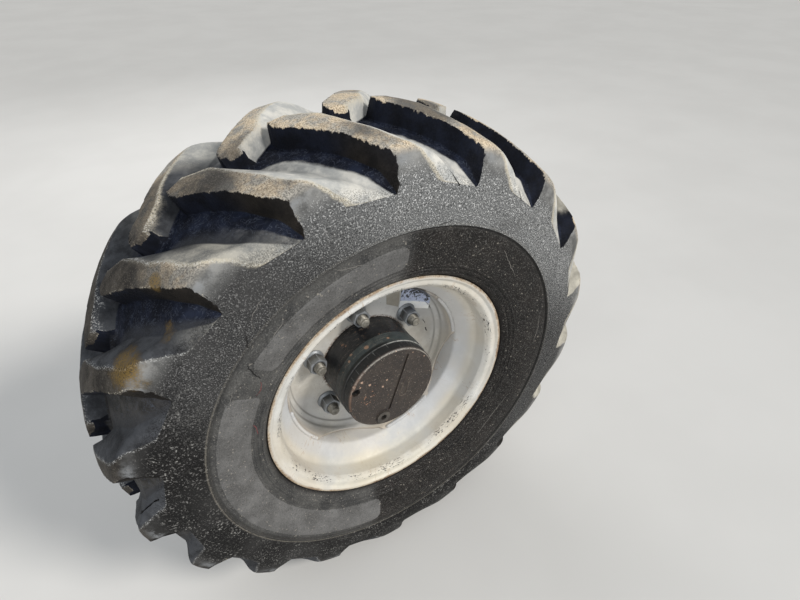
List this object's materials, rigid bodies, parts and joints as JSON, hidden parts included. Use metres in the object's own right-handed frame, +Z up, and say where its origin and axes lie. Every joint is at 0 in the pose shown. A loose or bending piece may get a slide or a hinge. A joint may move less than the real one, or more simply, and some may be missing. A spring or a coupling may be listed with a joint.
{
  "type": "driven dumper wheel with planetary hub on its axle arm",
  "caption": "Lugged traction tyre on a welded steel wheel, bolted to a planetary hub that turns on the flanged axle arm of a small dumper.",
  "frame": {"origin": "centre of the axle arm's mounting face, on the wheel axis", "axes": "+Z up, +X to the right seen from outside the wheel, +Y along the wheel axis towards the machine"},
  "size_m": [0.8518, 0.553, 0.8518],
  "materials": {
    "tyre_rubber": "matt, dusty",
    "rim_paint": "worn light grey paint",
    "disc_paint": "worn light grey paint",
    "hub_paint": "worn black paint over casting",
    "zinc_steel": "dull zinc",
    "plug_steel": "dark oiled steel",
    "seal_rubber": "matt",
    "valve_rubber": "matt",
    "axle_paint": "black paint over casting",
    "shaft_steel": "oiled",
    "bush_brass": "oiled"
  },
  "bodies": {
    "axle": {"axle_arm": "axle_paint", "spindle": "axle_paint", "spindle_bolts": "zinc_steel", "shaft_bush": "bush_brass"},
    "wheel": {"tyre": "tyre_rubber", "rim": "rim_paint", "wheel_disc": "disc_paint", "valve_stem": "valve_rubber", "hub": "hub_paint", "gear_ring": "hub_paint", "carrier_cover": "hub_paint", "level_plug": "plug_steel", "cover_screw": "plug_steel", "hub_seal": "seal_rubber", "wheel_studs": "zinc_steel", "wheel_nuts": "zinc_steel"},
    "shaft": {"half_shaft": "shaft_steel"}
  },
  "joints": [
    {"name": "wheel_spin", "type": "hinge", "parent": "axle", "child": "wheel", "pos_m": [0, -0.4, 0], "axis": [0, 1, 0], "continuous": true},
    {"name": "shaft_spin", "type": "hinge", "parent": "axle", "child": "shaft", "pos_m": [0, -0.1, 0], "axis": [0, 1, 0], "continuous": true}
  ],
  "couplings": [
    {"joint": "shaft_spin", "follows": "wheel_spin", "ratio": 6}
  ]
}
